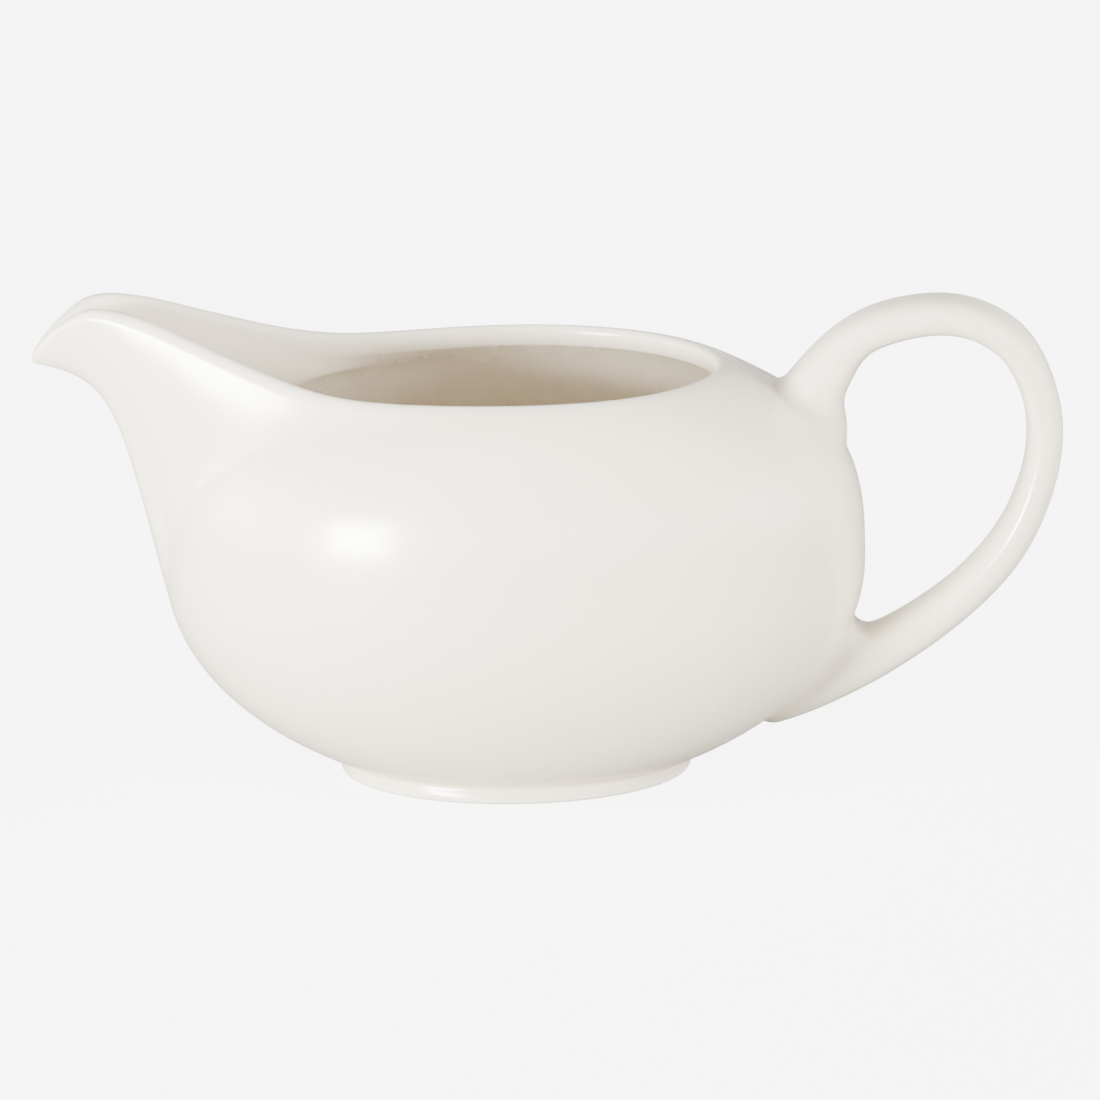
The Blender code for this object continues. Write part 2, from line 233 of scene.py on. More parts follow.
class Wiring:
    """Short calls for adding and joining nodes in one tree."""

    def __init__(self, tree: bpy.types.NodeTree) -> None:
        """Keep the tree."""
        self.tree = tree

    def add(self, kind: str, **settings: object) -> bpy.types.Node:
        """Add a node.

        Args:
            kind: Type name of the node.
            **settings: Properties set on the node.

        Returns:
            The new node.
        """
        node = self.tree.nodes.new(kind)
        for name, value in settings.items():
            setattr(node, name, value)
        return node

    def join(self, start: bpy.types.NodeSocket, end: bpy.types.NodeSocket) -> None:
        """Join two sockets."""
        self.tree.links.new(start, end)

    def maths(self, operation: str, first: object, second: object = 0.0) -> bpy.types.NodeSocket:
        """Add a Math node.

        Args:
            operation: Name of the operation.
            first: Socket or number.
            second: Socket or number.

        Returns:
            The result's socket.
        """
        node = self.add("ShaderNodeMath", operation=operation)
        for socket, value in zip(node.inputs, (first, second)):
            if isinstance(value, bpy.types.NodeSocket):
                self.join(value, socket)
            else:
                socket.default_value = value
        return node.outputs["Value"]

    def noise(self, grain: Grain, where: bpy.types.NodeSocket,
              scale: bpy.types.NodeSocket | None = None) -> bpy.types.NodeSocket:
        """Add a Noise Texture read in object space.

        Args:
            grain: Size and character of the noise.
            where: Socket of the coordinates.
            scale: Socket that takes the place of the grain's own scale, if there is one.

        Returns:
            The factor's socket, around 0.5.
        """
        node = self.add("ShaderNodeTexNoise", noise_dimensions="3D")
        node.inputs["Scale"].default_value = grain.scale
        node.inputs["Detail"].default_value = grain.detail
        node.inputs["Roughness"].default_value = grain.roughness
        self.join(where, node.inputs["Vector"])
        if scale is not None:
            self.join(scale, node.inputs["Scale"])
        return node.outputs["Fac"]

    def remap(self, value: bpy.types.NodeSocket, source: tuple[object, object],
              target: tuple[object, object]) -> bpy.types.NodeSocket:
        """Map a value from one range to another.

        Args:
            value: Socket to read.
            source: Ends of the range it comes in.
            target: Ends of the range it leaves in.

        Returns:
            The result's socket.
        """
        node = self.add("ShaderNodeMapRange", interpolation_type="SMOOTHSTEP")
        self.join(value, node.inputs["Value"])
        for name, end in zip(("From Min", "From Max", "To Min", "To Max"), source + target):
            if isinstance(end, bpy.types.NodeSocket):
                self.join(end, node.inputs[name])
            else:
                node.inputs[name].default_value = end
        return node.outputs["Result"]

    def blend(self, share: object, first: object, second: object) -> bpy.types.NodeSocket:
        """Mix two colours.

        Args:
            share: Socket or number, 0 for the first colour.
            first: Socket or colour.
            second: Socket or colour.

        Returns:
            The mixed colour's socket.
        """
        node = self.add("ShaderNodeMix", data_type="RGBA", clamp_factor=True)
        for index, value in ((0, share), (6, first), (7, second)):
            if isinstance(value, bpy.types.NodeSocket):
                self.join(value, node.inputs[index])
            else:
                node.inputs[index].default_value = value
        return node.outputs[2]


class GroupShop:
    """Shader node groups that several finishes share, each built once."""

    def __init__(self) -> None:
        """Start with no groups."""
        self.made: dict[str, bpy.types.NodeTree] = {}

    def start(self, name: str, inputs: dict[str, tuple[str, object]],
              outputs: dict[str, str]) -> tuple[Wiring, bpy.types.Node, bpy.types.Node]:
        """Make an empty group with its sockets.

        Args:
            name: Group name.
            inputs: Socket type and default of each input.
            outputs: Socket type of each output.

        Returns:
            Wiring of the group, its input node and its output node.
        """
        tree = bpy.data.node_groups.new(name, "ShaderNodeTree")
        for label, (kind, default) in inputs.items():
            socket = tree.interface.new_socket(label, in_out="INPUT", socket_type=kind)
            socket.default_value = default
        for label, kind in outputs.items():
            tree.interface.new_socket(label, in_out="OUTPUT", socket_type=kind)
        self.made[name] = tree
        wiring = Wiring(tree)
        return wiring, wiring.add("NodeGroupInput"), wiring.add("NodeGroupOutput")

    def glaze_tone(self) -> bpy.types.NodeTree:
        """Colour and roughness of a pottery glaze: cloudy tone, pooled glaze with painted shade in
        creases and hollows, and thin edges.

        Returns:
            The group, with inputs Body, a darker colour for pooled glaze and painted shade, Thin,
            Cloud Size, Cloud Depth and Gloss, and outputs Color and Roughness.
        """
        name = "glaze_tone"
        if name in self.made:
            return self.made[name]
        colour = "NodeSocketColor"
        number = "NodeSocketFloat"
        wiring, given, result = self.start(
            name,
            {"Body": (colour, (0.8, 0.8, 0.8, 1.0)), "Pool And Shade": (colour, (0.7, 0.7, 0.7, 1.0)),
             "Thin": (colour, (0.8, 0.8, 0.8, 1.0)), "Cloud Size": (number, 30.0),
             "Cloud Depth": (number, 0.05), "Gloss": (number, 0.1)},
            {"Color": colour, "Roughness": number})
        where = wiring.add("ShaderNodeTexCoord").outputs["Object"]
        clouds = wiring.noise(CLOUD_GRAIN, where, given.outputs["Cloud Size"])
        centred = wiring.maths("SUBTRACT", clouds, 0.5)
        shade = wiring.maths("MULTIPLY", centred, given.outputs["Cloud Depth"])
        tinted = wiring.add("ShaderNodeHueSaturation")
        wiring.join(given.outputs["Body"], tinted.inputs["Color"])
        wiring.join(wiring.maths("ADD", 1.0, shade), tinted.inputs["Value"])
        least, most = WARMTH_RANGE
        warm = wiring.maths("MULTIPLY", wiring.noise(WARMTH_GRAIN, where), most - least)
        wiring.join(wiring.maths("ADD", least, warm), tinted.inputs["Saturation"])
        pool_and_shade = wiring.add("ShaderNodeAttribute", attribute_name=CoatMask.POOL_AND_SHADE.value)
        thin = wiring.add("ShaderNodeAttribute", attribute_name=CoatMask.THIN.value)
        mottled = wiring.remap(wiring.noise(MOTTLE_GRAIN, where), NOISE_SPAN, MOTTLE_RANGE)
        # Painted shade: this mask darkens creases and hollows along with the pooled glaze.
        pool_and_shade_share = wiring.maths("MULTIPLY", pool_and_shade.outputs["Fac"], mottled)
        shallow = wiring.maths("MULTIPLY", thin.outputs["Fac"], mottled)
        tone = wiring.blend(pool_and_shade_share, tinted.outputs["Color"], given.outputs["Pool And Shade"])
        tone = wiring.blend(shallow, tone, given.outputs["Thin"])
        wiring.join(tone, result.inputs["Color"])
        patches = wiring.remap(wiring.noise(GLOSS_GRAIN, where), NOISE_SPAN, GLOSS_RANGE)
        rough = wiring.maths("MULTIPLY", given.outputs["Gloss"], patches)
        rougher = wiring.maths("MULTIPLY", shallow, THIN_COAT_ROUGHNESS)
        wiring.join(wiring.maths("ADD", rough, rougher), result.inputs["Roughness"])
        return self.made[name]

    def fired_surface(self) -> bpy.types.NodeTree:
        """Height of a fired surface: a slow ripple, fine orange peel and a few pinholes.

        Returns:
            The group, with inputs Ripple, Peel and Pinholes, and output Height in metres.
        """
        name = "fired_surface"
        if name in self.made:
            return self.made[name]
        number = "NodeSocketFloat"
        wiring, given, result = self.start(
            name,
            {"Ripple": (number, 0.0001), "Peel": (number, 0.00001), "Pinholes": (number, 0.0)},
            {"Height": number})
        where = wiring.add("ShaderNodeTexCoord").outputs["Object"]
        slow = wiring.maths("MULTIPLY", wiring.noise(RIPPLE_GRAIN, where), given.outputs["Ripple"])
        fine = wiring.maths("MULTIPLY", wiring.noise(PEEL_GRAIN, where), given.outputs["Peel"])
        cells = wiring.add("ShaderNodeTexVoronoi", feature="F1")
        cells.inputs["Scale"].default_value = PINHOLES_PER_METRE
        wiring.join(where, cells.inputs["Vector"])
        holes = wiring.remap(cells.outputs["Distance"], (0.0, PINHOLE_REACH), (-1.0, 0.0))
        sunk = wiring.maths("MULTIPLY", holes, given.outputs["Pinholes"])
        height = wiring.maths("ADD", wiring.maths("ADD", slow, fine), sunk)
        wiring.join(height, result.inputs["Height"])
        return self.made[name]


@dataclass(frozen=True)
class PotteryFinish:
    """A fired pottery surface, glazed or bare."""

    name: str
    body: tuple[float, float, float]
    # Darker colour for pooled glaze and for shade painted into creases and hollows.
    pool_and_shade: tuple[float, float, float]
    thin: tuple[float, float, float]
    gloss: float
    coat: float
    coat_roughness: float = 0.18
    cloud_size: float = CLOUD_GRAIN.scale
    cloud_depth: float = 0.012
    ripple: float = 0.00010
    peel: float = 0.000004
    pinholes: float = 0.0

    def make(self, shop: GroupShop) -> bpy.types.Material:
        """Make the material.

        Args:
            shop: Shared node groups.

        Returns:
            A material whose colour, roughness and normal come from the shared groups.
        """
        material = bpy.data.materials.new(self.name)
        material.use_nodes = True
        wiring = Wiring(material.node_tree)
        shader = material.node_tree.nodes["Principled BSDF"]
        shader.inputs["Metallic"].default_value = 0.0
        shader.inputs["IOR"].default_value = GLAZE_IOR
        shader.inputs["Coat Weight"].default_value = self.coat
        shader.inputs["Coat Roughness"].default_value = self.coat_roughness
        tone = wiring.add("ShaderNodeGroup", node_tree=shop.glaze_tone())
        for label, colour in (("Body", self.body), ("Pool And Shade", self.pool_and_shade), ("Thin", self.thin)):
            tone.inputs[label].default_value = (*colour, 1.0)
        tone.inputs["Cloud Size"].default_value = self.cloud_size
        tone.inputs["Cloud Depth"].default_value = self.cloud_depth
        tone.inputs["Gloss"].default_value = self.gloss
        wiring.join(tone.outputs["Color"], shader.inputs["Base Color"])
        wiring.join(tone.outputs["Roughness"], shader.inputs["Roughness"])
        surface = wiring.add("ShaderNodeGroup", node_tree=shop.fired_surface())
        surface.inputs["Ripple"].default_value = self.ripple
        surface.inputs["Peel"].default_value = self.peel
        surface.inputs["Pinholes"].default_value = self.pinholes
        bump = wiring.add("ShaderNodeBump")
        bump.inputs["Strength"].default_value = 1.0
        bump.inputs["Distance"].default_value = 1.0
        wiring.join(surface.outputs["Height"], bump.inputs["Height"])
        wiring.join(bump.outputs["Normal"], shader.inputs["Normal"])
        return material


# Each finish's pooled colour is also the painted shade of creases and hollows.
CREAM_GLAZE = PotteryFinish(
    name="cream_glaze", body=(0.76, 0.68, 0.535), pool_and_shade=(0.68, 0.585, 0.425), thin=(0.76, 0.70, 0.60),
    gloss=0.26, coat=0.35)
HANDLE_GLAZE = PotteryFinish(
    name="handle_cream_glaze", body=(0.76, 0.68, 0.535), pool_and_shade=(0.68, 0.585, 0.425),
    thin=(0.76, 0.70, 0.60), gloss=0.26, coat=0.35, ripple=0.00006)
FOOT_CLAY = PotteryFinish(
    name="bare_foot_clay", body=(0.70, 0.62, 0.50), pool_and_shade=(0.58, 0.50, 0.40), thin=(0.76, 0.69, 0.58),
    gloss=0.75, coat=0.0, cloud_size=120.0, cloud_depth=0.25, ripple=0.00004, peel=0.00006,
    pinholes=0.0002)


# ---------------------------------------------------------------------------------------------
# Body
# ---------------------------------------------------------------------------------------------


@dataclass(frozen=True)
class LoftGuide:
    """One guide of the upper body, with points as (towards the spout, across, up)."""

    share: float
    outer_lip: tuple[float, float, float]
    inner_lip: tuple[float, float, float]
    outer_lean: tuple[float, float, float]
    inner_lean: tuple[float, float, float]
    belly_angle: float
    join_z: float
    upright: float

    def row(self, side: int = 1, share: float | None = None, turn: float = 0.0) -> list[float]:
        """The guide as one row of numbers.

        Args:
            side: 1, or -1 for its mirror image.
            share: Share of the way round, or None for its own.
            turn: Whole angle that a mirrored guide counts back from, in radians.

        Returns:
            Share, the four vectors, the angle in radians, the join's height and the uprightness.
        """
        numbers: list[float] = [self.share if share is None else share]
        for point in (self.outer_lip, self.inner_lip, self.outer_lean, self.inner_lean):
            numbers.extend((point[0], side * point[1], point[2]))
        angle = turn + side * math.radians(self.belly_angle)
        return numbers + [angle, self.join_z, self.upright]


GUIDES = (
    LoftGuide(0.00, (0.0942, 0.0000, 0.0840), (0.0850, 0.0000, 0.0911), (-0.0180, 0.0000, -0.0034),
              (-0.0085, 0.0000, -0.0100), 0.0, 0.0348, 0.0350),
    LoftGuide(0.05, (0.0932, 0.0023, 0.0862), (0.0848, 0.0010, 0.0920), (-0.0158, 0.0020, -0.0053),
              (-0.0082, 0.0010, -0.0104), 2.8, 0.0352, 0.0346),
    LoftGuide(0.10, (0.0902, 0.0045, 0.0903), (0.0840, 0.0022, 0.0936), (-0.0110, 0.0030, -0.0085),
              (-0.0070, 0.0016, -0.0110), 5.6, 0.0364, 0.0340),
    LoftGuide(0.16, (0.0846, 0.0076, 0.0942), (0.0822, 0.0040, 0.0947), (-0.0052, 0.0016, -0.0115),
              (-0.0052, 0.0012, -0.0120), 9.0, 0.0400, 0.0290),
    LoftGuide(0.24, (0.0759, 0.0108, 0.0938), (0.0742, 0.0072, 0.0938), (-0.0022, 0.0022, -0.0140),
              (-0.0024, 0.0008, -0.0130), 14.0, 0.0480, 0.0200),
    LoftGuide(0.34, (0.0653, 0.0153, 0.0903), (0.0636, 0.0117, 0.0903), (-0.0020, 0.0034, -0.0145),
              (-0.0020, 0.0010, -0.0130), 20.8, 0.0590, 0.0110),
    LoftGuide(0.44, (0.0509, 0.0219, 0.0850), (0.0492, 0.0183, 0.0850), (-0.0014, 0.0026, -0.0090),
              (-0.0012, 0.0004, -0.0095), 31.0, 0.0685, 0.0045),
    LoftGuide(0.52, (0.0390, 0.0274, 0.0817), (0.0373, 0.0237, 0.0815), (0.0010, 0.0014, -0.0046),
              (0.0002, 0.0012, -0.0062), 42.5, 0.0728, 0.0032),
    LoftGuide(0.60, (0.0265, 0.0321, 0.0807), (0.0254, 0.0280, 0.0806), (0.0014, 0.0024, -0.0034),
              (0.0016, 0.0026, -0.0040), 57.0, 0.0722, 0.0032),
    LoftGuide(0.70, (0.0080, 0.0363, 0.0809), (0.0076, 0.0318, 0.0808), (0.0006, 0.0034, -0.0026),
              (0.0006, 0.0036, -0.0026), 79.0, 0.0715, 0.0032),
    LoftGuide(0.80, (-0.0130, 0.0355, 0.0810), (-0.0113, 0.0311, 0.0809), (-0.0010, 0.0036, -0.0026),
              (-0.0010, 0.0036, -0.0024), 105.0, 0.0712, 0.0033),
    LoftGuide(0.90, (-0.0345, 0.0250, 0.0810), (-0.0300, 0.0217, 0.0809), (-0.0030, 0.0034, -0.0026),
              (-0.0032, 0.0034, -0.0022), 138.0, 0.0710, 0.0034),
    LoftGuide(1.00, (-0.0466, 0.0000, 0.0810), (-0.0404, 0.0000, 0.0809), (-0.0052, 0.0000, -0.0024),
              (-0.0054, 0.0000, -0.0022), 180.0, 0.0710, 0.0036),
)


@dataclass
class GlazedBody:
    """Bowl, spout and foot ring as one glazed skin."""

    axis_x: float = -0.0070
    equator_z: float = 0.0430
    base_z: float = 0.0033
    floor_z: float = 0.0078
    wall: float = 0.0042
    neck_depth: float = 0.0022
    belly_half: tuple[float, float] = (0.0699, 0.0508)
    close_below: tuple[float, float] = (0.0460, 0.0478)
    close_above: tuple[float, float] = (0.0470, 0.0492)
    power_below: float = 2.05
    power_above: float = 3.0
    roll_height: float = 0.0027
    tip_roll_height: float = 0.0055
    tip_share: float = 0.14
    foot_x: float = -0.0073
    foot_half: tuple[float, float] = (0.0350, 0.0292)
    foot_wall: float = 0.0042
    foot_edge: float = 0.0009
    foot_inset: float = 0.0004
    edge_pull: float = 0.45
    fillet_reach: float = 0.0012
    recess_steps: tuple[float, float] = (0.0060, 0.0030)
    recess_rise: float = 0.0002
    wall_rise: float = 0.6
    belly_pull: float = 0.0007
    wall_rows: int = 4
    slope_step: float = 0.0002
    row_crowding: float = 1.25
    crease_rows: int = 5
    # Painted shade with pooled glaze: the lower belly darkens towards the foot crease and the inside
    # towards its floor.
    crease_top: float = 0.0085
    pool_and_shade_top: float = 0.020
    standing_band: tuple[float, float, float] = (0.0006, 0.0002, 0.0012)
    crease_pool_and_shade: float = 0.7
    floor_pool_and_shade: float = 0.5
    rim_thinning: float = 0.6
    rim_spread: float = 0.6
    columns_per_side: int = 130
    lower_rows: int = 34
    upper_rows: int = 56
    roll_rows: int = 14
    inner_upper_rows: int = 40
    inner_lower_rows: int = 24
    edge_rows: int = 5
    guides: tuple[LoftGuide, ...] = GUIDES

    def belly_size(self, z: np.ndarray, axis: int, inset: float) -> np.ndarray:
        """Half-size of the body's oval form.

        Args:
            z: Heights.
            axis: 0 along the length, 1 across.
            inset: Thickness taken off, 0 for the outer skin.

        Returns:
            Half-size at each height.
        """
        reach = self.equator_z - self.floor_z if inset > 0.0 else self.close_below[axis]
        below = np.clip((self.equator_z - z) / reach, 0.0, 1.0) ** self.power_below
        above = np.clip((z - self.equator_z) / (self.close_above[axis] - inset), 0.0, 1.0)
        closed = below + above ** self.power_above
        return (self.belly_half[axis] - inset) * np.sqrt(np.clip(1.0 - closed, 0.0, 1.0))

    def belly_point(self, angle: float, z: np.ndarray, inset: float) -> np.ndarray:
        """Points of the oval form at an angle and heights, inset from the outer skin."""
        x = self.belly_size(z, 0, inset) * math.cos(angle)
        y = self.belly_size(z, 1, inset) * math.sin(angle)
        return np.stack((x, y, z), axis=-1)

    def belly_slope(self, angle: float, z: float, inset: float) -> np.ndarray:
        """Direction of the oval form's wall at a height, scaled to rise by one."""
        step = self.slope_step
        high = self.belly_point(angle, np.array(z), inset)
        return (high - self.belly_point(angle, np.array(z - step), inset)) / step

    def guide_rows(self, shares: np.ndarray) -> np.ndarray:
        """Read the guides, smooth across the mid-plane at both ends.

        Args:
            shares: Shares of the way from the spout round to the handle.

        Returns:
            One row of loft numbers for each share.
        """
        before = [guide.row(-1, -guide.share) for guide in self.guides[3:0:-1]]
        here = [guide.row() for guide in self.guides]
        after = [guide.row(-1, 2.0 - guide.share, 2.0 * math.pi) for guide in self.guides[-2:-5:-1]]
        knots = np.array(before + here + after)
        return natural_spline(knots[:, 0], knots[:, 1:], shares)

    def foot_rows(self, outside: np.ndarray) -> np.ndarray:
        """Underside and foot ring on one column, from inside the ring to the belly.

        Args:
            outside: Lowest point of the belly on this column.

        Returns:
            Points from the base inside the ring, down its inner wall, across the standing face and
            up its outer wall.
        """
        shift = self.axis_x - self.foot_x
        turn = math.atan2(outside[1] / self.foot_half[1], (outside[0] - shift) / self.foot_half[0])

        def at(inset: float, z: float) -> np.ndarray:
            """Point of the ring at an inset from its outer wall."""
            return np.array(((self.foot_half[0] - inset) * math.cos(turn) + shift,
                             (self.foot_half[1] - inset) * math.sin(turn), z))

        edge = self.foot_edge
        half = self.edge_pull * edge
        inner = self.foot_wall
        top = self.base_z - self.foot_inset
        far, near = self.recess_steps
        recess = [at(inner + far, top + self.recess_rise), at(inner + near, top)]
        inner_wall = bezier(at(inner + self.fillet_reach, top), at(inner, top), at(inner, top - half),
                            at(inner, edge), self.wall_rows)
        inner_edge = bezier(at(inner, edge), at(inner, half), at(inner - half, 0.0),
                            at(inner - edge, 0.0), self.wall_rows)
        outer_edge = bezier(at(edge, 0.0), at(half, 0.0), at(0.0, half), at(0.0, edge), self.edge_rows)
        outer_wall = bezier(at(0.0, edge), at(0.0, self.wall_rise * self.base_z),
                            outside - UP * self.belly_pull, outside, self.wall_rows)
        return np.concatenate((recess, inner_wall, inner_edge[1:], outer_edge, outer_wall[1:-1]))

    def column(self, row: np.ndarray, share: float) -> np.ndarray:
        """The whole skin on one column.

        Args:
            row: Loft numbers of the column.
            share: Share of the way from the spout round to the handle.

        Returns:
            Points from the underside, up the outside, over the rim and down to the floor.
        """
        outer_lip, inner_lip, outer_lean, inner_lean = row[:12].reshape(4, 3)
        angle, join_z, upright = row[12:]
        climb = np.linspace(0.0, 1.0, self.lower_rows + 1) ** self.row_crowding
        heights = self.base_z + (join_z - self.base_z) * climb
        lower = self.belly_point(angle, heights, 0.0)
        pull = lower[-1] + self.belly_slope(angle, join_z, 0.0) * upright
        upper = bezier(lower[-1], pull, outer_lip + outer_lean, outer_lip, self.upper_rows)
        tip = eased(np.array(share), 0.0, self.tip_share)
        height = self.roll_height + (self.tip_roll_height - self.roll_height) * (1.0 - tip)
        roll = bezier(outer_lip, outer_lip - unit(outer_lean) * height, inner_lip + UP * height,
                      inner_lip, self.roll_rows)
        neck = inner_lip - UP * self.neck_depth
        end = self.belly_point(angle, np.array(join_z), self.wall)
        pull = end + self.belly_slope(angle, join_z, self.wall) * upright
        inner = bezier(neck, neck + inner_lean, pull, end, self.inner_upper_rows)
        slant = np.sin(np.linspace(0.0, 0.5 * math.pi, self.inner_lower_rows + 1))[1:-1]
        bottom = self.belly_point(angle, join_z + (self.floor_z - join_z) * slant, self.wall)
        return np.concatenate((self.foot_rows(lower[0]), lower[:-1], upper, roll[1:], inner, bottom))

    def placed(self, points: np.ndarray) -> np.ndarray:
        """Turn spout-distance coordinates into the frame's."""
        moved = points.copy()
        moved[..., 0] = self.axis_x - points[..., 0]
        return moved

    def foot_row_count(self) -> int:
        """Number of rows below the belly."""
        return len(self.foot_rows(self.belly_point(0.0, np.array(self.base_z), 0.0)))

    def grid(self) -> np.ndarray:
        """Columns of the whole skin, all the way round."""
        shares = np.linspace(0.0, 1.0, self.columns_per_side + 1)
        rows = self.guide_rows(shares)
        half = [self.column(row, share) for row, share in zip(rows, shares)]
        other = [column * MIRROR for column in half[1:-1]]
        return self.placed(np.array(half + other[::-1]))

    def masks(self, grid: np.ndarray) -> dict[CoatMask, np.ndarray]:
        """Where the glaze pools, with painted shade darkening the foot crease and the inner floor, and
        where it draws thin.

        Args:
            grid: Points of the skin.

        Returns:
            A value from 0 to 1 for each point of each mask.
        """
        rows = np.arange(grid.shape[1])[None, :]
        foot = self.foot_row_count()
        height = grid[..., 2]
        outside = rows < foot + self.lower_rows
        low = outside & (rows >= foot - self.crease_rows)
        # Painted shade: darker down into the crease above the foot.
        crease = np.where(low, 1.0 - eased(height, self.base_z, self.crease_top), 0.0)
        crest = foot + self.lower_rows + self.upper_rows + 0.5 * self.roll_rows
        edge = 1.0 - eased(np.abs(rows - crest), 1.0, self.rim_spread * self.roll_rows)
        middle, full, none = self.standing_band
        standing = np.where(rows < foot, 1.0 - eased(np.abs(height - middle), full, none), 0.0)
        inside = rows > crest
        # Painted shade: darker down towards the inner floor.
        floor = np.where(inside, 1.0 - eased(height, self.floor_z, self.pool_and_shade_top), 0.0)
        pool_and_shade = np.maximum(self.crease_pool_and_shade * crease, self.floor_pool_and_shade * floor)
        thin = np.maximum(self.rim_thinning * edge, standing)
        return {CoatMask.POOL_AND_SHADE: pool_and_shade, CoatMask.THIN: thin}

    def build(self, shop: GroupShop) -> bpy.types.Object:
        """Build and dress the skin.

        Args:
            shop: Shared node groups.

        Returns:
            The skin, riding on the root body in place of the bowl, spout and foot ring.
        """
        grid = self.grid()
        foot = self.foot_row_count()
        standing = foot - (self.wall_rows - 1) - self.edge_rows - 1
        skin = SkinMesh(
            "glazed_body", grid,
            np.array((self.foot_x, 0.0, self.base_z)), np.array((self.axis_x, 0.0, self.floor_z)),
            self.masks(grid), (standing - 1, standing)).build()
        skin.data.materials.append(CREAM_GLAZE.make(shop))
        skin.data.materials.append(FOOT_CLAY.make(shop))
        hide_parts("bowl", "spout", "foot_ring")
        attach(skin, "root")
        LOG.info("%s: %d points", skin.name, len(skin.data.vertices))
        return skin

    def outer_tree(self) -> BVHTree:
        """Search tree of the outer skin, for landing the handle on it."""
        grid = self.grid()
        foot = self.foot_row_count()
        shell = grid[:, foot:foot + self.lower_rows + self.upper_rows + self.roll_rows]
        around, rows = shell.shape[:2]
        faces = []
        for i in range(around):
            after = (i + 1) % around
            for j in range(rows - 1):
                faces.append((i * rows + j, i * rows + j + 1, after * rows + j + 1, after * rows + j))
        return BVHTree.FromPolygons([Vector(point) for point in shell.reshape(-1, 3)], faces)


# ---------------------------------------------------------------------------------------------
# Handle
# ---------------------------------------------------------------------------------------------

STRAP_STATIONS = (
    (0.0402, 0.0690, 0.0550, 0.0590, 0.0092),
    (0.0443, 0.0753, 0.0592, 0.0675, 0.0090),
    (0.0486, 0.0808, 0.0589, 0.0742, 0.0084),
    (0.0533, 0.0859, 0.0605, 0.0792, 0.0078),
    (0.0588, 0.0904, 0.0636, 0.0840, 0.0075),
    (0.0660, 0.0938, 0.0688, 0.0865, 0.0075),
    (0.0751, 0.0955, 0.0752, 0.0879, 0.0075),
    (0.0845, 0.0946, 0.0823, 0.0875, 0.0075),
    (0.0932, 0.0901, 0.0885, 0.0844, 0.0075),
    (0.0987, 0.0829, 0.0924, 0.0793, 0.0075),
    (0.1019, 0.0731, 0.0947, 0.0723, 0.0075),
    (0.1021, 0.0636, 0.0949, 0.0642, 0.0075),
    (0.0999, 0.0541, 0.0930, 0.0564, 0.0075),
    (0.0954, 0.0440, 0.0894, 0.0487, 0.0075),
    (0.0886, 0.0352, 0.0831, 0.0408, 0.0075),
    (0.0791, 0.0267, 0.0745, 0.0338, 0.0075),
    (0.0684, 0.0193, 0.0640, 0.0281, 0.0077),
    (0.0600, 0.0146, 0.0600, 0.0302, 0.0082),
    (0.0514, 0.0107, 0.0524, 0.0310, 0.0086),
    (0.0429, 0.0079, 0.0444, 0.0300, 0.0088),
)


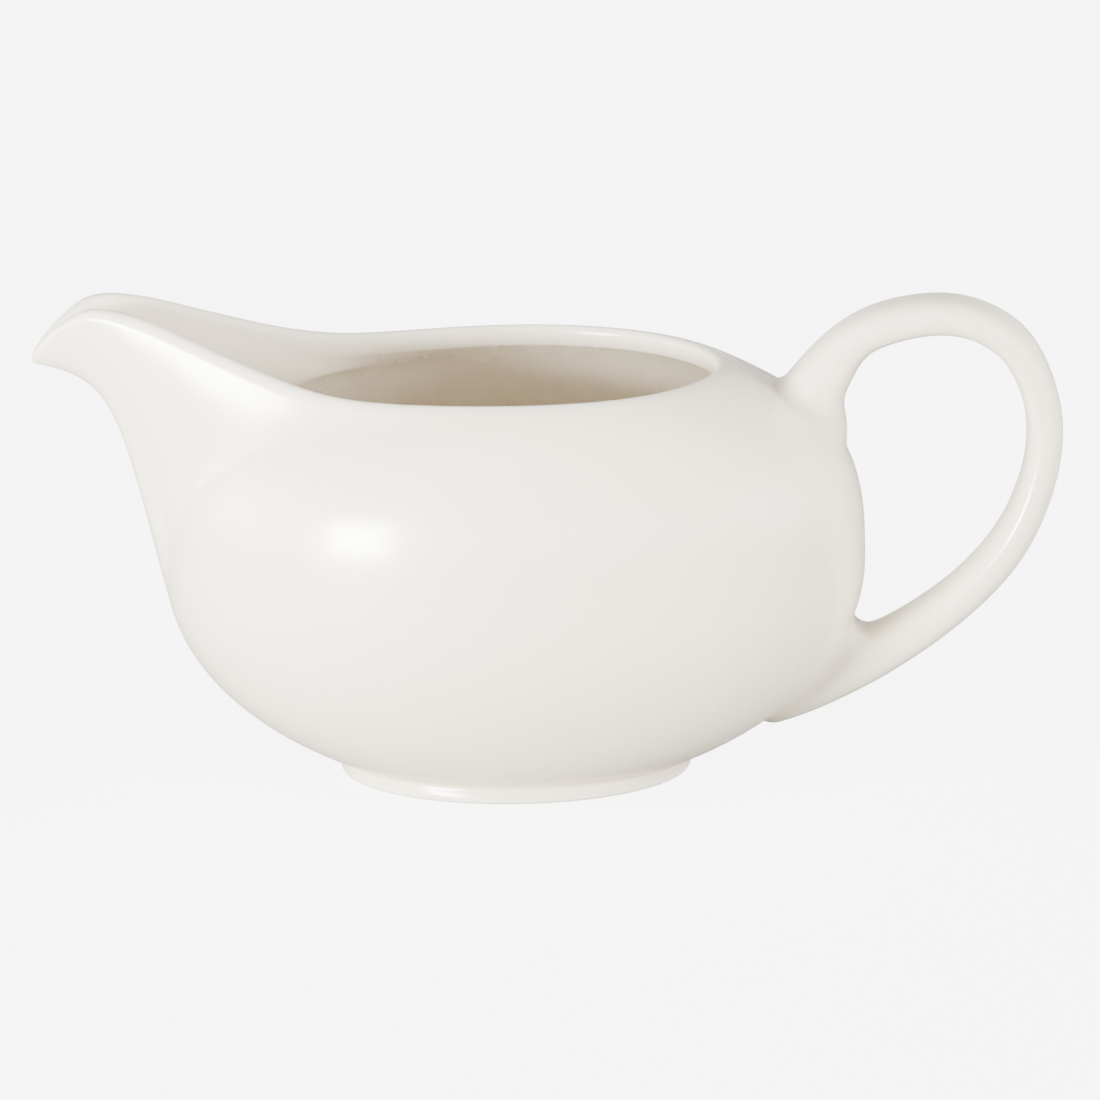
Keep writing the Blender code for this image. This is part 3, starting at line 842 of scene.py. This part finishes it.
@dataclass
class StrapHandle:
    """Loop handle: a rounded strap whose ends spread onto the body."""

    stations: tuple[tuple[float, ...], ...] = STRAP_STATIONS
    section_power: float = 2.6
    around: int = 56
    fine_steps: int = 400
    strap_rows: int = 110
    landing_rows: int = 26
    landing_height: float = 0.0030
    longest_landing: float = 0.0120
    spread: float = 0.0030
    sink: float = 0.00012
    root_depth: float = 0.0012
    strap_pull: float = 0.50
    body_pull: float = 0.30
    # Strength of the painted shade and pooled glaze at the roots.
    root_pool_and_shade: float = 0.6

    def section(self, station: np.ndarray) -> np.ndarray:
        """Closed section of the strap at one station."""
        outer = np.array((station[0], 0.0, station[1]))
        inner = np.array((station[2], 0.0, station[3]))
        turn = np.linspace(0.0, 2.0 * math.pi, self.around, endpoint=False)
        power = 2.0 / self.section_power
        thick = np.sign(np.cos(turn)) * np.abs(np.cos(turn)) ** power
        wide = np.sign(np.sin(turn)) * np.abs(np.sin(turn)) ** power
        ring = 0.5 * (outer + inner) + 0.5 * (outer - inner) * thick[:, None]
        return ring + ACROSS * (station[4] * wide)[:, None]

    def lines(self) -> np.ndarray:
        """Lines along the strap, one for each place round its section."""
        stations = np.array(self.stations)
        wanted = np.linspace(0.0, len(stations) - 1.0, self.fine_steps + 1)
        fine = natural_spline(np.arange(len(stations), dtype=float), stations, wanted)
        return np.array([self.section(station) for station in fine]).swapaxes(0, 1)

    def landing(self, line: np.ndarray, middle: np.ndarray, body: BVHTree) -> tuple[int, np.ndarray]:
        """Bend the end of one line onto the body.

        Args:
            line: Points of the line, ending inside the body.
            middle: Points of the strap's middle, beside the line's.
            body: Search tree of the body's outer skin.

        Returns:
            The row where the line starts to bend, and the points from there into the body.
        """
        rises = []
        for point in line:
            near, normal, _, reach = body.find_nearest(Vector(point))
            rises.append(math.copysign(reach, (Vector(point) - near).dot(normal)))
        rises = np.array(rises)
        below = np.nonzero(rises < 0.0)[0]
        enter = int(below[0]) if len(below) else len(line) - 1
        lengths = path_lengths(line)
        near_body = (rises < self.landing_height) & (lengths > lengths[enter] - self.longest_landing)
        leave = enter
        while leave > 0 and near_body[leave - 1]:
            leave -= 1
        leave = max(leave, 2)
        away = unit(line[enter] - middle[enter])
        near, normal, _, _ = body.find_nearest(Vector(line[enter] + away * self.spread))
        normal = np.array(normal)
        end = np.array(near) - normal * self.sink
        inward = unit(-away + normal * float(np.dot(away, normal)))
        along = unit(line[leave + 1] - line[leave - 1])
        span = float(np.linalg.norm(end - line[leave]))
        bend = bezier(line[leave], line[leave] + along * span * self.strap_pull,
                      end + inward * span * self.body_pull, end, self.landing_rows)
        root = end + inward * self.root_depth - normal * self.root_depth
        return leave, np.concatenate((bend, root[None]))

    def half(self, lines: np.ndarray, body: BVHTree) -> np.ndarray:
        """One half of the strap, from the middle of the loop to the body."""
        middle = lines.mean(axis=0)
        rows = []
        for line in lines:
            leave, bend = self.landing(line, middle, body)
            lengths = path_lengths(line[:leave + 1])
            wanted = np.linspace(0.0, lengths[-1], self.strap_rows // 2 + 1)
            free = np.stack([np.interp(wanted, lengths, line[:leave + 1, i]) for i in range(3)], axis=1)
            rows.append(np.concatenate((free[:-1], bend)))
        return np.array(rows)

    def build(self, shop: GroupShop, body: BVHTree) -> bpy.types.Object:
        """Build and dress the handle.

        Args:
            shop: Shared node groups.
            body: Search tree of the body's outer skin.

        Returns:
            The handle, riding on the root body in place of the strap and its joints.
        """
        lines = self.lines()
        middle = self.fine_steps // 2
        upper = self.half(lines[:, middle::-1], body)
        lower = self.half(lines[:, middle:], body)
        columns = np.concatenate((upper[:, ::-1], lower[:, 1:]), axis=1)
        ends = self.landing_rows + 1
        rows = np.arange(columns.shape[1])
        close = np.broadcast_to(np.minimum(rows, rows[::-1]), columns.shape[:2])
        # Painted shade with pooled glaze: darker towards both roots, where the strap meets the body.
        pool_and_shade = self.root_pool_and_shade * (1.0 - eased(close, 0.0, float(ends)))
        masks = {CoatMask.POOL_AND_SHADE: pool_and_shade, CoatMask.THIN: np.zeros_like(pool_and_shade)}
        strap = SkinMesh("strap_handle", columns, columns[:, 0].mean(axis=0),
                         columns[:, -1].mean(axis=0), masks).build()
        strap.data.materials.append(HANDLE_GLAZE.make(shop))
        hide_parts("handle", "upper_handle_joint", "lower_handle_joint")
        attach(strap, "root")
        LOG.info("%s: %d points", strap.name, len(strap.data.vertices))
        return strap


# ---------------------------------------------------------------------------------------------
# Studio
# ---------------------------------------------------------------------------------------------


@dataclass(frozen=True)
class Softbox:
    """A rectangular studio light aimed at the object."""

    name: str
    azimuth: float
    elevation: float
    distance: float
    size: tuple[float, float]
    power: float
    glossy: bool = True

    def place(self, aim: Vector) -> bpy.types.Object:
        """Put the light in the scene.

        Args:
            aim: Point that the light faces.

        Returns:
            The light.
        """
        data = bpy.data.lights.new(self.name, "AREA")
        data.shape = "RECTANGLE"
        data.size, data.size_y = self.size
        data.energy = self.power
        lamp = bpy.data.objects.new(self.name, data)
        lamp.visible_glossy = self.glossy
        turn = math.radians(self.azimuth)
        rise = math.radians(self.elevation)
        away = Vector((math.sin(turn) * math.cos(rise), -math.cos(turn) * math.cos(rise), math.sin(rise)))
        lamp.location = aim + away * self.distance
        lamp.rotation_euler = (-away).to_track_quat("-Z", "Y").to_euler()
        bpy.context.scene.collection.objects.link(lamp)
        return lamp


@dataclass
class Studio:
    """Pale floor, soft light and the camera."""

    aim: tuple[float, float, float] = (0.0, 0.0, 0.0444)
    elevation: float = 15.0
    distance: float = 2.2
    frame_width: float = 0.2194
    sensor: float = 36.0
    roll: float = -0.0133
    floor_size: float = 12.0
    floor_roughness: float = 0.9
    floor_specular: float = 0.1
    floor_colour: tuple[float, float, float] = (0.30, 0.30, 0.296)
    floor_glow: float = 6.5
    horizon_light: float = 4.3
    zenith_light: float = 0.1
    back_share: float = 0.35
    dimming_heights: tuple[float, float] = (0.0, 0.5)
    front_to_back: tuple[float, float] = (-0.6, 0.8)
    lights: tuple[Softbox, ...] = (
        Softbox("key_softbox", azimuth=-40.5, elevation=5.0, distance=1.3, size=(0.38, 0.32),
                power=85.0),
        Softbox("left_panel", azimuth=-85.0, elevation=12.0, distance=1.4, size=(0.9, 0.7), power=26.0),
        Softbox("right_panel", azimuth=84.0, elevation=10.0, distance=1.6, size=(1.0, 0.9), power=100.0,
                glossy=False),
        Softbox("top_panel", azimuth=-15.0, elevation=62.0, distance=1.5, size=(0.8, 0.5), power=32.0,
                glossy=False),
    )

    def floor(self) -> None:
        """Lay the floor."""
        half = 0.5 * self.floor_size
        mesh = bpy.data.meshes.new("studio_floor")
        corners = [(-half, -half, 0.0), (half, -half, 0.0), (half, half, 0.0), (-half, half, 0.0)]
        mesh.from_pydata(corners, [], [(0, 1, 2, 3)])
        mesh.materials.append(self.floor_paint())
        ground = bpy.data.objects.new("studio_floor", mesh)
        bpy.context.scene.collection.objects.link(ground)

    def floor_paint(self) -> bpy.types.Material:
        """Matt pale paint that looks brighter to the camera than it lights the object.

        Returns:
            The floor's material.
        """
        paint = bpy.data.materials.new("floor_paint")
        paint.use_nodes = True
        wiring = Wiring(paint.node_tree)
        shader = paint.node_tree.nodes["Principled BSDF"]
        shader.inputs["Base Color"].default_value = (*self.floor_colour, 1.0)
        shader.inputs["Roughness"].default_value = self.floor_roughness
        shader.inputs["Specular IOR Level"].default_value = self.floor_specular
        glow = wiring.add("ShaderNodeEmission")
        glow.inputs["Strength"].default_value = self.floor_glow
        lit = wiring.add("ShaderNodeAddShader")
        wiring.join(shader.outputs["BSDF"], lit.inputs[0])
        wiring.join(glow.outputs["Emission"], lit.inputs[1])
        seen = wiring.add("ShaderNodeMixShader")
        wiring.join(wiring.add("ShaderNodeLightPath").outputs["Is Camera Ray"], seen.inputs["Fac"])
        wiring.join(shader.outputs["BSDF"], seen.inputs[1])
        wiring.join(lit.outputs["Shader"], seen.inputs[2])
        wiring.join(seen.outputs["Shader"], paint.node_tree.nodes["Material Output"].inputs["Surface"])
        return paint

    def surroundings(self) -> None:
        """Light the surroundings: bright round the horizon, dimmer overhead and behind."""
        world = bpy.data.worlds.new("studio_surroundings")
        world.use_nodes = True
        wiring = Wiring(world.node_tree)
        where = wiring.add("ShaderNodeTexCoord").outputs["Generated"]
        parts = wiring.add("ShaderNodeSeparateXYZ")
        wiring.join(where, parts.inputs["Vector"])
        overhead = (self.horizon_light, self.zenith_light)
        rise = wiring.remap(parts.outputs["Z"], self.dimming_heights, overhead)
        front = wiring.remap(parts.outputs["Y"], self.front_to_back, (1.0, self.back_share))
        sky = world.node_tree.nodes["Background"]
        wiring.join(wiring.maths("MULTIPLY", rise, front), sky.inputs["Strength"])
        sky.inputs["Color"].default_value = WHITE
        bpy.context.scene.world = world

    def camera(self) -> bpy.types.Object:
        """Place the camera square to the mid-plane and a little above the rim.

        Returns:
            The scene's camera.
        """
        data = bpy.data.cameras.new("studio_camera")
        data.sensor_width = self.sensor
        data.lens = self.sensor * self.distance / self.frame_width
        camera = bpy.data.objects.new("studio_camera", data)
        rise = math.radians(self.elevation)
        away = Vector((0.0, -math.cos(rise), math.sin(rise)))
        stand = Matrix.Translation(Vector(self.aim) + away * self.distance)
        facing = (-away).to_track_quat("-Z", "Y").to_matrix().to_4x4()
        camera.matrix_world = stand @ facing @ Matrix.Rotation(self.roll, 4, "Z")
        bpy.context.scene.collection.objects.link(camera)
        bpy.context.scene.camera = camera
        return camera

    def build(self) -> None:
        """Build the whole studio."""
        self.floor()
        self.surroundings()
        for light in self.lights:
            light.place(Vector(self.aim))
        camera = self.camera()
        LOG.info("%s: lens %.0f mm", camera.name, camera.data.lens)


def main() -> None:
    """Build the studio and both skins, and note the sizes."""
    logging.basicConfig(level=logging.INFO)
    Studio().build()
    shop = GroupShop()
    body = GlazedBody()
    body.build(shop)
    StrapHandle().build(shop, body.outer_tree())


if __name__ == "__main__":
    main()
